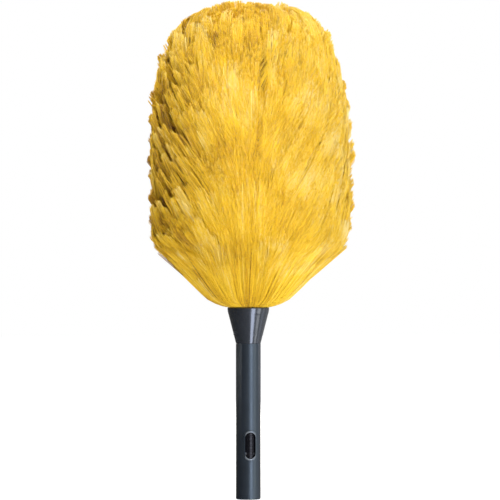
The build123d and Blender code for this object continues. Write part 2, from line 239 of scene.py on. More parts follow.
def broad_streak(angle, z):
    return streak(angle, z, 21, 18, 60)


def fine_streak(angle, z):
    return streak(angle, z, 22, 60, 160)


def ripple(steps, slowest, fastest, count):
    """A sine along each fibre, with its own pace and start."""
    pace = rng.uniform(slowest, fastest, count)[:, None]
    return np.sin(TAU * (steps * pace + rng.uniform(0, 1, count)[:, None]))


def groom(points):
    """Settles points (n, 3): partings, broad lumps, and a slight set to the camera's right."""
    x, y, z = points.T
    radius = np.hypot(x, y)
    angle = np.arctan2(y, x)
    view = angle - FRONT
    for turn, bottom, top, half in PARTINGS:
        arc = wrap(view - math.radians(turn)) * radius
        near = np.abs(arc) < 14
        if not near.any():
            continue
        weight = (band(z[near], bottom - 8, bottom + 6, top - 6, top + 8)
                  * smooth(radius[near], 18, 45))
        push = np.sign(arc[near]) * half * np.exp(-(np.abs(arc[near]) / 5.0) ** 1.5) * weight
        angle[near] += push / np.maximum(radius[near], 1)
    lump = (0.9 * np.sin(3 * angle + 0.021 * z + 1.0) + 0.7 * np.sin(5 * angle - 0.034 * z + 0.4)
            + 0.5 * np.sin(9 * angle + 0.05 * z + 2.2)) * smooth(radius, 45, 95)
    settled = polar(radius * (1 + lump / 100.0), angle, z)
    settled[:, :2] += RIGHT * (1.5 * smooth(z, 205, 270))[:, None]
    return settled


def crease(angle, z, radius):
    """How deep in a parting a fibre end stands, 0 to 1; it sets the painted shade in the partings.
    """
    deepest = np.zeros_like(angle)
    for turn, bottom, top, half in PARTINGS:
        arc = wrap(angle - FRONT - math.radians(turn)) * radius
        weight = band(z, bottom - 4, bottom + 8, top - 8, top + 4)
        depth = np.exp(-(arc / (0.62 * half + 0.6)) ** 2) * weight * min(1.0, half / 1.6)
        deepest = np.maximum(deepest, depth)
    return deepest


def pocket(angle, z):
    """How far inside one of the hollows a point of the surface lies, 0 to 1; it sets the painted
    shade in the hollows as well as their shape.
    """
    deepest = np.zeros_like(angle)
    for turn, middle, half_wide, half_high in POCKETS:
        arc = wrap(angle - FRONT - math.radians(turn)) * POCKET_R
        rise = z - middle
        away = np.hypot((arc - 0.35 * rise) / half_wide, rise / half_high)
        deepest = np.maximum(deepest, 1 - smooth(away, 0.8, 1.45))
    return deepest


def clumpiness(angle, z):
    """How far the pile has gathered into locks, 0 to 1: most on the left, patchy behind."""
    view = view_degrees(angle)
    left = smooth(-view, 18, 55) * (1 - 0.9 * smooth(-view, 76, 118))
    right_edge = 0.55 * band(view, 64, 82, 106, 130)
    behind = (np.clip(0.24 + 0.4 * field(angle, z, 11), 0, 0.7)
              * smooth(np.abs(view), 105, 130))
    top = 0.30 * smooth(z, 470, 494)
    low = 0.5 + 0.5 * smooth(z, 262, 300)
    return np.clip(np.maximum(np.maximum(left, right_edge), np.maximum(behind, top)), 0, 1) * low


def painted_light_side(angle):
    """1 on the camera's right side, where the key light falls: the fibre there is painted paler, a
    painted highlight.
    """
    return band(view_degrees(angle), 2, 50, 115, 160)


def shaded_side(angle, z):
    """1 on the camera's left side, where painted shade darkens the gaps between the locks."""
    return (band(-view_degrees(angle), 25, 65, 88, 120) * smooth(z, 255, 290)
            * (1 - 0.8 * smooth(z, 398, 445)))


def shaded_rim(angle, z):
    """1 along the camera's left edge, half way up, where painted shade darkens the fibre."""
    return band(-view_degrees(angle), 55, 76, 92, 112) * band(z, 275, 305, 385, 425)


# ---------------------------------------------------------------- mesh helpers
def build_mesh(name, verts, faces_by_size, smooth_shade=True):
    """verts (n, 3) in metres; faces_by_size holds one index array for each face size."""
    mesh = bpy.data.meshes.new(name)
    mesh.vertices.add(len(verts))
    mesh.vertices.foreach_set("co", np.ascontiguousarray(verts, np.float32).ravel())
    loops = np.concatenate([faces.ravel() for faces in faces_by_size]).astype(np.int32)
    totals = np.concatenate(
        [np.full(len(faces), faces.shape[1], np.int32) for faces in faces_by_size])
    starts = np.concatenate([[0], np.cumsum(totals)[:-1]]).astype(np.int32)
    mesh.loops.add(len(loops))
    mesh.loops.foreach_set("vertex_index", loops)
    mesh.polygons.add(len(totals))
    mesh.polygons.foreach_set("loop_start", starts)
    mesh.polygons.foreach_set("loop_total", totals)
    mesh.polygons.foreach_set("use_smooth", np.full(len(totals), smooth_shade))
    mesh.update(calc_edges=True)
    obj = bpy.data.objects.new(name, mesh)
    bpy.context.scene.collection.objects.link(obj)
    return obj


def add_uv(obj, vert_uv):
    mesh = obj.data
    corner_verts = np.zeros(len(mesh.loops), np.int32)
    mesh.loops.foreach_get("vertex_index", corner_verts)
    layer = mesh.uv_layers.new(name="OFBake")
    layer.data.foreach_set("uv", np.ascontiguousarray(vert_uv[corner_verts], np.float32).ravel())


def add_float(obj, name, values):
    attribute = obj.data.attributes.new(name, "FLOAT", "POINT")
    attribute.data.foreach_set("value", np.ascontiguousarray(values, np.float32))


def ring_quads(first, second, columns):
    """Quads joining two rings of vertices, given the first index of each."""
    here = np.arange(columns)
    after = (here + 1) % columns
    return np.stack([first + here, first + after, second + after, second + here], -1)


def register(obj, material, slot, *replaced):
    obj.data.materials.append(material)
    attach(obj, "duster")
    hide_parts(*replaced)


def strand_mesh(name, paths, radius, tint):
    """paths (n, m, 3) in mm, radius (n, m), tint (n,). Closed three-sided pointed fibres."""
    count, points, _ = paths.shape
    tangent = unit(np.gradient(paths, axis=1), 1e-9)
    across = unit(np.cross(tangent, np.array([0.13, 0.21, 1.0])), 1e-9)
    other = np.cross(tangent, across)
    spin = rng.uniform(0, TAU, count)[:, None]
    corners = []
    for k in range(3):
        angle = spin + k * TAU / 3
        offset = (np.cos(angle)[..., None] * across[:, :-1]
                  + np.sin(angle)[..., None] * other[:, :-1])
        corners.append(paths[:, :-1] + radius[:, :-1, None] * offset)
    body = np.stack(corners, 2).reshape(count, (points - 1) * 3, 3)
    verts = np.concatenate([body, paths[:, -1:]], 1)

    tip = (points - 1) * 3
    per_fibre = tip + 1
    base = (np.arange(count) * per_fibre)[:, None, None]
    quads = np.concatenate([ring_quads(i * 3, i * 3 + 3, 3) for i in range(points - 2)])
    tris = np.array([[tip - 3 + k, tip - 3 + (k + 1) % 3, tip] for k in range(3)] + [[2, 1, 0]])
    faces = [(quads[None] + base).reshape(-1, 4), (tris[None] + base).reshape(-1, 3)]
    obj = build_mesh(name, verts.reshape(-1, 3) * MM, faces)
    along = np.concatenate([np.repeat(np.linspace(0, 1, points)[:-1], 3), [1.0]])
    add_float(obj, "along", np.tile(along, count))
    add_float(obj, "tint", np.repeat(tint, per_fibre))

    # each fibre has its own cell of the bake
    columns = int(math.ceil(math.sqrt(count * 2.0)))
    rows = int(math.ceil(count / columns))
    cell = np.arange(count)
    cell_u, cell_v = (cell % columns) / columns, (cell // columns) / rows
    side = np.concatenate([np.tile([0.15, 0.5, 0.85], points - 1), [0.5]])
    uv = np.stack([cell_u[:, None] + side[None] / columns,
                   cell_v[:, None] + (0.08 + 0.84 * along[None]) / rows], -1)
    add_uv(obj, uv.reshape(-1, 2))
    return obj


def pile_piece(name, parts, replaced, material):
    """One mesh from parts of (paths, radii, tints), groomed."""
    paths, radius, tint = (np.concatenate(column) for column in zip(*parts))
    settled = groom(paths.reshape(-1, 3)).reshape(paths.shape)
    register(strand_mesh(name, settled, radius, tint), material, "pile_fibre", replaced)


# ---------------------------------------------------------------- locks of fibre
def lock_lengths(length, place, clump, hollow):
    """Where each lock ends: uneven where clumped, shorter at the crown and in hollows."""
    tip_z = place[1]
    ends = (length + 0.012 * field(*place, 7, 2.0)
            + rng.uniform(-1, 1, len(tip_z)) * (0.008 + 0.045 * clump) - 0.032 * clump)
    cut_short = rng.uniform(0, 1, len(tip_z)) < 0.32
    ends = (ends - 0.10 * clump * cut_short * (1 - smooth(tip_z, 465, 492))
            - 0.022 * smooth(tip_z, 466, 492) * (1 - 0.25 * smooth(tip_z, 499, 505.5))
            - 0.008 * smooth(tip_z, 490, 504))
    return ends - 0.105 * hollow


def wall_slope(share, lean):
    """Slope of the wall against a square cut across each lock's end."""
    ends = cup(share, np.tile([0.98, 1.0], (len(share), 1)), lean)
    heading = unit(ends[:, 1] - ends[:, 0])
    normal = chain_normal(WALL, share, 0.004)
    across = quarter_turn(heading)
    facing = np.maximum((heading * normal).sum(1), 0.35)
    return np.clip((across * normal).sum(1) / facing, -1.3, 1.3)


def fibres(share, angle, per_lock, start, length, steps, half_wide, half_deep, width,
           pull_in=None, sway=0.10, layer_in=0.0, per_tuft=6, stray=False):
    """Paths, radii and tints for locks: flat bundles of tufts cut off square, like a brush.

    start and length are places along the fibre line, steps the stations between them; sizes
    are in mm. pull_in, one value a lock, puts the locks on the flare's line, not the cup's."""
    locks = len(share)
    steps = np.asarray(steps, float)[None]
    tufts = max(1, per_lock // per_tuft)
    lock = np.repeat(np.arange(locks), per_lock)
    count = len(lock)
    tuft = lock * tufts + np.tile(np.arange(per_lock) % tufts, locks)

    # each lock: sway sideways, lean at the tip, length, tint, slant of the cut, width
    place = (angle, along_chain(WALL, share)[:, 1])
    clump = clumpiness(*place)
    hollow = pocket(*place)
    lock_sway = sway * (0.9 * field(*place, 5) + rng.normal(0, 0.30, locks) * (1 + 1.2 * clump))
    lock_lean = 0.10 * (0.9 * field(*place, 6) + rng.normal(0, 0.30, locks) * (1 + 1.2 * clump))
    lock_end = lock_lengths(length, place, clump, hollow)
    if stray:
        lock_end, lock_sway, lock_lean = length, 0 * lock_sway, 0 * lock_lean
    lock_tint = (0.08 * field(*place, 8, 1.5) + 0.07 * broad_streak(*place)
                 + rng.normal(0, 0.035, locks) * (1 + 1.5 * clump))
    lock_slant = rng.uniform(-1, 1, locks) * (0.008 + 0.030 * clump)
    lock_wide = rng.uniform(0.85, 1.15, locks) * (1 + 0.22 * clump)

    # each tuft: place across its lock, drawn in to a rounded outline, and its tint and length
    tuft_x = rng.uniform(-1, 1, locks * tufts)
    tuft_y = rng.uniform(-1, 1, locks * tufts)
    round_off = np.maximum(1, np.sqrt(tuft_x ** 2 + tuft_y ** 2) / 1.18)
    tuft_x, tuft_y = (tuft_x / round_off)[tuft], (tuft_y / round_off)[tuft]
    tuft_tint = rng.normal(0, 0.05, locks * tufts)
    tuft_length = rng.uniform(-0.006, 0.0, locks * tufts)

    # each fibre: place in its tuft, end and beginning
    clump = clump[lock]
    from_middle, round_tuft = np.sqrt(rng.uniform(0, 1, count)), rng.uniform(0, TAU, count)
    end = (lock_end[lock] + tuft_length[tuft] - 0.007 * rng.uniform(0, 1, count) ** 2
           + lock_slant[lock] * tuft_x)
    end = end - 0.012 * clump * (tuft_x ** 2 + tuft_y ** 2)
    lowness = 1 - smooth(share[lock], 0.0, 0.30)
    begin = start * (1 - 0.45 * lowness) + rng.uniform(0, 0.08, count)

    # offsets within the bundle, sideways and outwards; clumped locks narrow to the tip
    narrow = (1 - 0.38 * clump)[:, None]
    closing = 1 - (1 - narrow) * smooth(steps, 0.2, 1.0)
    tuft_r = 1.35 * (1 - 0.25 * steps * clump[:, None])
    side = ((half_wide * lock_wide[lock] * tuft_x)[:, None] * closing
            + tuft_r * (from_middle * np.cos(round_tuft))[:, None])
    out = ((half_deep * tuft_y)[:, None] * closing
           + 0.8 * tuft_r * (from_middle * np.sin(round_tuft))[:, None])
    if pull_in is None:
        # where the pile is even, the cut follows the envelope and not the end of the lock
        slope = wall_slope(share, lock_lean)
        end = end - (0.75 * (1 - clump) + 0.12) * slope[lock] * out[:, -1] / 95.0
    along = begin[:, None] + (end - begin)[:, None] * steps

    # centre line of the lock, and the outward normal from a point slightly ahead
    if pull_in is None:
        line = cup(share[lock], along, lock_lean[lock])
        ahead = cup(share[lock], along + 0.01, lock_lean[lock])
    else:
        mix = pull_in[lock][:, None, None] * smooth(along, 0.0, 0.9)[..., None]
        line, ahead = flare_line(along, mix), flare_line(along + 0.01, mix)
    normal = quarter_turn(unit(ahead - line, 1e-9))

    wave = rng.uniform(0.05, 0.40, count)[:, None] * ripple(steps, 0.5, 1.4, count) * steps
    lay = 90.0 * lock_sway[lock][:, None] * (along - start) ** 2 / (1.05 - start)
    if pull_in is None:
        side = side + lay + wave
        out = (out - (0.6 * half_deep + 3.0) * (1 - steps) * lowness[:, None]
               - 1.2 * lowness[:, None] * (1 - smooth(steps, 0.75, 1.0)))
    else:
        open_out = 0.33 + 0.67 * np.minimum(along / 0.7, 1)
        side = side * open_out + lay + wave
        out = np.minimum(out * open_out * 0.55 - layer_in, 0.4)
    out = out + 0.7 * wave * np.cos(round_tuft)[:, None]
    radial, z = np.moveaxis(line + out[..., None] * normal, -1, 0)
    turn = angle[lock][:, None]
    if pull_in is None:
        x = radial * np.cos(turn) - side * np.sin(turn)
        y = radial * np.sin(turn) + side * np.cos(turn)
    else:
        turn = turn + side / np.maximum(radial, 14.0)
        x, y = radial * np.cos(turn), radial * np.sin(turn)

    thick = width * 0.5 * (1 - 0.25 * steps) * rng.uniform(0.75, 1.25, count)[:, None]
    tip = (np.arctan2(y[:, -1], x[:, -1]), z[:, -1])
    # Tint: a painted highlight on the lit right side; painted shade on the left, along the left edge
    # and in the hollows; the rest is the fibre's own varied tone.
    tint = (0.5 + 0.11 * painted_light_side(tip[0]) - 0.19 * shaded_side(*tip) - 0.14 * shaded_rim(*tip)
            - 0.40 * hollow[lock] + lock_tint[lock] + tuft_tint[tuft]
            + rng.normal(0, 0.07, count) + 0.06 * fine_streak(*tip))
    # On the cup's locks, painted shade darkens the partings too.
    if pull_in is None:
        tint = tint - 0.42 * crease(*tip, np.hypot(x[:, -1], y[:, -1]))
    return np.stack([x, y, z], -1), thick, tint


SURFACE_STEPS = np.array([[0, 0.2, 0.42, 0.64, 0.84, 0.988, 1.0]])
SURFACE_PER_LOCK = 60


def surface_locks(tip_arc, tip_angle, per_lock, width=0.44):
    """Long locks combed over the surface: each comes up between its neighbours and lies over
    them to its tip."""
    locks = len(tip_arc)
    steps = SURFACE_STEPS
    tip_r, tip_z = envelope_at(tip_arc)[0].T
    place = (tip_angle, tip_z)
    clump = clumpiness(*place)
    lock = np.repeat(np.arange(locks), per_lock)
    count = len(lock)

    # each lock: length, half width, lift of the tip off the surface
    length = rng.uniform(46, 74, locks) * (1 - 0.42 * clump)
    length = np.minimum(length, tip_arc - 4)
    half_wide = rng.uniform(4.4, 7.0, locks) * (1 + 0.15 * clump)
    view = wrap(tip_angle - FRONT)
    at_edge = np.exp(-((np.abs(np.degrees(view)) - 90) / 18.0) ** 2)
    lift = (0.5 + 0.5 * rng.uniform(0, 1, locks)
            + clump * rng.uniform(0.5, 4.6, locks) * (1 - 0.6 * at_edge)
            * (1 - 0.85 * smooth(tip_z, 445, 488)) - 2.6 * smooth(tip_z, 474, 500))
    # sideways drift per mm of length, tint, and raggedness and slant of the cut
    front = smooth(np.cos(view), 0.0, 0.35) * (1 - smooth(tip_z, 380, 440))
    drift = ((0.40 + 0.22 * front) * np.sin(2 * view) * smooth(tip_z, 225, 300)
             + 0.10 * field(*place, 15) + rng.normal(0, 0.045, locks) * (1 + 1.5 * clump))
    lock_tint = (0.08 * field(*place, 8, 1.5) + 0.08 * broad_streak(*place)
                 + rng.normal(0, 0.03, locks) * (1 + 2 * clump))
    ragged = 3.6 + rng.uniform(8.0, 24.0, locks) * (1 - clump) ** 1.5
    slant = rng.uniform(-1, 1, locks) * (1.0 + 3.5 * clump)

    # each fibre: place across its lock, depth in it, and run along the envelope
    clump = clump[lock]
    across = rng.uniform(-1, 1, count)
    depth = rng.uniform(0, 1, count)
    end = (tip_arc[lock] - ragged[lock] * rng.uniform(0, 1, count) ** 1.5
           + slant[lock] * across - (1.2 - 0.6 * clump) * across ** 2)
    start = tip_arc[lock] - length[lock] + rng.uniform(-3, 3, count)
    arc = start[:, None] + (end - start)[:, None] * steps
    surface, normal = envelope_at(arc)

    # height over the envelope: sunk at the root, lifted at the tip
    low = 1 - smooth(tip_z[lock], 225, 290)
    sink = 3.3 + 2.8 * clump - 1.0 * low
    height = (-sink[:, None] * (1 - steps) ** 1.6
              + lift[lock][:, None] * steps ** 2.2 * (1 - 0.75 * low[:, None])
              - (1.3 + 0.8 * clump)[:, None] * depth[:, None])
    height = height + 0.25 * ripple(steps, 0.4, 1.1, count)
    radial, z = np.moveaxis(surface + height[..., None] * normal, -1, 0)

    # offset sideways: the lock fans out with the radius and narrows to its tip
    fan = np.maximum(radial, 8) / np.maximum(tip_r[lock], 30)[:, None]
    narrow = 1 - (0.04 + 0.14 * clump)[:, None] * smooth(steps, 0.3, 1.0)
    side = (half_wide[lock][:, None] * across[:, None] * narrow * np.clip(fan, 0.3, 1.1)
            + 0.5 * rng.normal(0, 1, count)[:, None])
    side = side + 0.35 * ripple(steps, 0.4, 1.0, count)
    side = side + drift[lock][:, None] * (arc - tip_arc[lock][:, None])
    turn = tip_angle[lock][:, None] + side / np.maximum(radial, 12)

    thick = width * 0.5 * (1 - 0.2 * steps) * rng.uniform(0.75, 1.25, count)[:, None]
    tip = (turn[:, -1], z[:, -1])
    # Tint: a painted highlight on the lit right side; painted shade on the left, along the left edge
    # and in the partings; the rest is the fibre's own varied tone.
    tint = (0.51 + 0.11 * painted_light_side(tip[0]) - 0.04 * shaded_side(*tip) - 0.12 * shaded_rim(*tip)
            + lock_tint[lock] + rng.normal(0, 0.06, count) * (1 + 1.6 * clump)
            + 0.06 * fine_streak(*tip) - 0.34 * crease(*tip, radial[:, -1]))
    return polar(radial, turn, z), thick, tint


# ---------------------------------------------------------------- materials
def feed(tree, node, **inputs):
    """Links sockets, or sets plain values, on a node's inputs; _ stands for a space."""
    for name, value in inputs.items():
        socket = node.inputs[name.replace("_", " ")]
        if isinstance(value, bpy.types.NodeSocket):
            tree.links.new(value, socket)
        else:
            socket.default_value = value


def add_node(tree, kind, **inputs):
    node = tree.nodes.new(kind)
    feed(tree, node, **inputs)
    return node


def new_material(name):
    material = bpy.data.materials.new(name)
    material.use_nodes = True
    return material, material.node_tree, material.node_tree.nodes["Principled BSDF"]


def ramp(tree, factor, stops):
    node = add_node(tree, "ShaderNodeValToRGB", Fac=factor)
    elements = node.color_ramp.elements
    while len(elements) < len(stops):
        elements.new(0.5)
    for element, (position, colour) in zip(elements, stops):
        element.position = position
        element.color = (*colour, 1)
    return node.outputs["Color"]


def math_node(tree, operation, *operands):
    node = tree.nodes.new("ShaderNodeMath")
    node.operation = operation
    for i, value in enumerate(operands):
        if isinstance(value, (int, float)):
            node.inputs[i].default_value = value
        else:
            tree.links.new(value, node.inputs[i])
    return node.outputs[0]


def noise(tree, vector, scale, detail, roughness):
    return add_node(tree, "ShaderNodeTexNoise", Vector=vector, Scale=scale, Detail=detail,
                    Roughness=roughness).outputs["Fac"]


def map_range(tree, value, **limits):
    return add_node(tree, "ShaderNodeMapRange", Value=value, **limits).outputs["Result"]


FIBRE_COLOURS = [      # deep brown gold to pale straw
    (0.0, (0.26, 0.12, 0.005)), (0.20, (0.56, 0.30, 0.008)), (0.42, (0.82, 0.51, 0.013)),
    (0.66, (0.905, 0.612, 0.033)), (1.0, (0.93, 0.755, 0.30))]


def fibre_material(name, dark=0.0, sheen=0.24):
    """Yellow fibre: colour from each fibre's tint, patches and grain, with painted shade darker
    towards the root and a painted highlight paler towards the tip.
    """
    material, tree, bsdf = new_material(name)
    tint, along = (tree.nodes.new("ShaderNodeAttribute") for _ in range(2))
    tint.attribute_name = "tint"
    along.attribute_name = "along"
    coord = tree.nodes.new("ShaderNodeTexCoord").outputs["Object"]
    patch = noise(tree, coord, scale=28.0, detail=2.0, roughness=0.5)
    fine = noise(tree, coord, scale=420.0, detail=2.0, roughness=0.6)

    def swing(value, middle, amount):
        return math_node(tree, "MULTIPLY", math_node(tree, "SUBTRACT", value, middle), amount)

    shade = math_node(tree, "ADD", swing(patch, 0.5, 0.46), tint.outputs["Fac"])
    shade = math_node(tree, "ADD", shade, swing(fine, 0.5, 0.35))
    # painted shade at the roots and a painted highlight at the tips, by the place along the fibre
    shade = math_node(tree, "ADD", shade, swing(along.outputs["Fac"], 0.55, 0.32))
    shade = math_node(tree, "SUBTRACT", shade, dark)
    height = add_node(tree, "ShaderNodeSeparateXYZ", Vector=coord).outputs["Z"]
    feed(tree, bsdf,
         Base_Color=ramp(tree, shade, FIBRE_COLOURS),
         Roughness=map_range(tree, fine, To_Min=0.46, To_Max=0.66),
         Specular_IOR_Level=0.35,
         Sheen_Weight=map_range(tree, height, From_Min=0.22, From_Max=0.36,     # more higher up
                                To_Min=0.25 * sheen, To_Max=sheen),
         Sheen_Roughness=0.4,
         Sheen_Tint=(1.0, 0.93, 0.78, 1))
    return material


def solid_material(name, base, rough, vary=0.12, scale=900.0, bump=0.04, coat=0.0, spec=0.5,
                   spec_tint=(1, 1, 1, 1), edge_wear_and_highlight=None, metallic=0.0, stretch=None):
    """Mottled colour, uneven gloss and a fine skin texture, with paler edges by pointiness, given as
    (colour, amount): wear on some parts, a painted highlight on others. stretch scales the texture
    along x, y, z."""
    material, tree, bsdf = new_material(name)
    vector = tree.nodes.new("ShaderNodeTexCoord").outputs["Object"]
    if stretch:
        mapping = add_node(tree, "ShaderNodeMapping", Vector=vector, Scale=stretch)
        vector = mapping.outputs["Vector"]
    broad = noise(tree, vector, scale=45.0, detail=4.0, roughness=0.6)
    fine = noise(tree, vector, scale=scale, detail=3.0, roughness=0.6)
    mottle = math_node(tree, "ADD", math_node(tree, "MULTIPLY", broad, 0.65),
                       math_node(tree, "MULTIPLY", fine, 0.35))
    darker = tuple(c * (1 - vary * 2) for c in base)
    lighter = tuple(min(1, c * (1 + vary * 2)) for c in base)
    colour = ramp(tree, mottle, [(0.3, darker), (0.7, lighter)])
    # paler edges by pointiness: wear on the collar, a painted highlight on the tube's edges and
    # window lip
    if edge_wear_and_highlight:
        wear_and_highlight_colour, amount = edge_wear_and_highlight
        pointiness = tree.nodes.new("ShaderNodeNewGeometry").outputs["Pointiness"]
        edge = ramp(tree, pointiness, [(0.54, (0, 0, 0)), (0.62, (1, 1, 1))])
        mix = tree.nodes.new("ShaderNodeMix")
        mix.data_type = "RGBA"
        rubbed_and_highlit = math_node(tree, "MULTIPLY", edge, math_node(tree, "MULTIPLY", broad, amount))
        feed(tree, mix, Factor=rubbed_and_highlit, A=colour, B=(*wear_and_highlight_colour, 1))
        colour = mix.outputs["Result"]
    skin = add_node(tree, "ShaderNodeBump", Strength=bump, Distance=0.0004, Height=fine)
    feed(tree, bsdf,
         Base_Color=colour,
         Roughness=map_range(tree, mottle, From_Min=0.3, From_Max=0.7,
                             To_Min=max(0.02, rough - 0.06), To_Max=rough + 0.08),
         Normal=skin.outputs["Normal"],
         Metallic=metallic,
         Specular_IOR_Level=spec,
         Specular_Tint=spec_tint,
         Coat_Weight=coat,
         Coat_Roughness=0.12)
    return material


pile_material = fibre_material("pile_fibre")
# the undercoat is painted darker all over: painted shade of the depth under the locks
undercoat_material = fibre_material("pile_undercoat", dark=0.16, sheen=0.1)
flare_material = fibre_material("pile_flare_fibre", dark=0.06, sheen=0.05)

SOLIDS = {
    # the tube's pale edges are a painted highlight on the window's lip and the tube's edges
    "tube_plastic": dict(base=(0.011, 0.014, 0.021), rough=0.34, vary=0.10, scale=1500,
                         bump=0.02, spec=0.74, spec_tint=(0.72, 0.90, 1.0, 1),
                         edge_wear_and_highlight=((0.42, 0.45, 0.50), 0.9)),
    "collar_plastic": dict(base=(0.013, 0.015, 0.021), rough=0.22, vary=0.08, scale=1200,
                           bump=0.01, coat=0.55, spec=0.95, spec_tint=(0.82, 0.91, 1.0, 1),
                           edge_wear_and_highlight=((0.18, 0.18, 0.2), 0.4)),
    "latch_plastic": dict(base=(0.012, 0.012, 0.014), rough=0.45, vary=0.15, scale=1800,
                          bump=0.08),
    "button_plastic": dict(base=(0.003, 0.003, 0.005), rough=0.19, vary=0.15, scale=1500,
                           bump=0.02, spec=0.20),
    "core_plastic": dict(base=(0.035, 0.035, 0.040), rough=0.48, scale=1600, bump=0.08),
    "catch_steel": dict(base=(0.52, 0.52, 0.53), rough=0.32, vary=0.06, bump=0.10,
                        metallic=1.0, stretch=(1, 12, 12)),
    "spring_steel": dict(base=(0.47, 0.47, 0.49), rough=0.28, vary=0.08, scale=2500,
                         bump=0.05, metallic=1.0),
    "screw_steel": dict(base=(0.58, 0.56, 0.52), rough=0.30, vary=0.08, scale=2000,
                        bump=0.06, metallic=1.0),
    "core_wood": dict(base=(0.52, 0.35, 0.19), rough=0.62, vary=0.16, scale=260, bump=0.25,
                      spec=0.3, stretch=(14, 14, 0.7)),
    "binding_cord": dict(base=(0.58, 0.37, 0.09), rough=0.80, vary=0.16, scale=2200,
                         bump=0.5, spec=0.2, stretch=(1, 1, 3)),
}
solids = {name: solid_material(name, **look) for name, look in SOLIDS.items()}
slot_of = {part["node"]: part["material_slot"] for part in frame["record"]["subparts"]}
for name, obj in frame["nodes"].items():
    if slot_of[name] in solids:
        obj.data.materials.clear()
        obj.data.materials.append(solids[slot_of[name]])


# ---------------------------------------------------------------- pieces of the pile
def thinned(count, least):
    return max(least, int(count * density))


def build_tiers():
    """The body of the pile, in rings of locks up the wall, each tier split into three."""
    ring_gap, lock_gap, split = 11.0, 10.6, 3
    rings = int(chain_length(WALL) / ring_gap)
    shares, angles = [], []
    for i in range(rings):
        middle = (i + 0.5) / rings
        count = max(3, int(TAU * along_chain(WALL, middle)[0] / lock_gap))
        spots = np.arange(count) + rng.uniform(-0.42, 0.42, count) + rng.uniform(0, 1)
        angles.append(spots / count * TAU)
        jitter = rng.uniform(-0.55, 0.55, count) / rings
        shares.append(np.clip(middle + jitter, 0.0, 0.999))
    shares, angles = np.concatenate(shares), np.concatenate(angles)

    stray_view, stray_z, stray_length = np.array(STRAYS, float).T
    grid = np.linspace(0, 1, 400)
    stray_share = np.interp(stray_z, along_chain(WALL, grid)[:, 1], grid)
    stray_angle = np.radians(stray_view) + CAMERA_TURN - math.pi / 2

    for name, low, high in zip(PILE_NAMES, SHARES[:-1], SHARES[1:]):
        tier = np.nonzero((shares >= low) & (shares < high))[0]
        out = (stray_share >= low) & (stray_share < high)
        for third in range(split):
            mine = tier[third::split]
            parts = [fibres(shares[mine], angles[mine], thinned(80, least=12), start=0.56,
                            length=1.02, steps=(0, 0.5, 0.97, 1.0), half_wide=6.3,
                            half_deep=6.0, width=0.50)]
            if third == 0 and out.any():
                parts.append(fibres(stray_share[out], stray_angle[out], thinned(130, least=20),
                                    start=0.56, length=stray_length[out],
                                    steps=(0, 0.5, 0.985, 1.0), half_wide=6.0, half_deep=4.6,
                                    width=0.50, stray=True))
            pile_piece(name + "_fibres_" + "abc"[third], parts, name, pile_material)


def build_surface():
    """Locks combed over the surface, from half way up the flare to the crown's shoulder."""
    first, top_margin, step, lock_gap = 66, 18, 15.0, 11.0
    arcs, angles = [], []
    for i in range(int((ENVELOPE_LENGTH - first - top_margin) / step)):
        middle = first + (i + 0.5) * step
        count = int(TAU * envelope_at(middle)[0][0] / lock_gap)
        angles.append((np.arange(count) + rng.uniform(-0.48, 0.48, count)) / count * TAU)
        arcs.append(middle + rng.uniform(-1, 1, count) * step * 0.9)
    arcs, angles = np.concatenate(arcs), np.concatenate(angles)

    # thin the locks out at the outline, towards the crown and over the hollows
    edgewise = np.exp(-((np.abs(view_degrees(angles)) - 90) / 16.0) ** 2)
    crown = smooth(arcs, ENVELOPE_LENGTH - 95, ENVELOPE_LENGTH - 20)
    keep = rng.uniform(0, 1, len(angles)) > np.maximum(0.45 * edgewise, crown)
    hollow = pocket(angles, envelope_at(arcs)[0][:, 1])
    keep &= rng.uniform(0, 1, len(angles)) > 1.1 * hollow
    arcs, angles = arcs[keep], angles[keep]

    tier_tops = along_chain(WALL, SHARES[1:-1])[:, 1]
    owner = np.searchsorted(tier_tops, envelope_at(arcs)[0][:, 1])
    fibre_tris, most_tris = 34, 185000.0      # triangles of a fibre, and the most in a piece
    for k, name in enumerate(PILE_NAMES):
        mine = np.nonzero(owner == k)[0]
        if len(mine) < 3:
            continue
        pieces = int(math.ceil(len(mine) * SURFACE_PER_LOCK * fibre_tris / most_tris))
        for i in range(pieces):
            pick = mine[i::pieces]
            part = surface_locks(arcs[pick], angles[pick], thinned(SURFACE_PER_LOCK, least=10))
            pile_piece(name + "_surface_locks_" + "abcd"[i], [part], name, pile_material)


# flare layers, outermost first: locks, mm inwards, pull towards the cup, fibres a lock
FLARE_LAYERS = [(64, 0.0, 0.00, 40), (62, 0.9, 0.03, 40), (60, 2.0, 0.07, 38), (56, 3.4, 0.12, 34)]
FLARE_STEPS = (0, 0.07, 0.15, 0.25, 0.36, 0.48, 0.60, 0.74, 0.87, 0.985, 1.0)


def build_flare():
    """The long locks that make the flare over the collar, root to tip."""
    for layer, (count, inward, pull, per_lock) in enumerate(FLARE_LAYERS):
        angle = (np.arange(count) + rng.uniform(-0.45, 0.45, count)) / count * TAU
        pull_in = pull + rng.uniform(0, 0.04, count)
        part = fibres(np.zeros(count), angle, thinned(per_lock, least=8), start=0.0,
                      length=rng.uniform(0.55, 0.88, count), steps=FLARE_STEPS, half_wide=6.2,
                      half_deep=3.4, width=0.46, pull_in=pull_in, sway=0.035,
                      layer_in=inward, per_tuft=2)
        pile_piece(f"pile_flare_fibres_{layer + 1}", [part], PILE_NAMES[0], flare_material)


UNDERCOAT_COLUMNS = 576
# the undercoat's inside, down the core (radius, z)
UNDERCOAT_BORE = [
    (6.0, 474.6), (13.3, 470.6), (13.3, 462.0), (9.9, 458.6), (9.9, 400.0), (9.9, 340.0),
    (9.9, 280.0), (9.9, 230.0), (9.9, 202.0)]


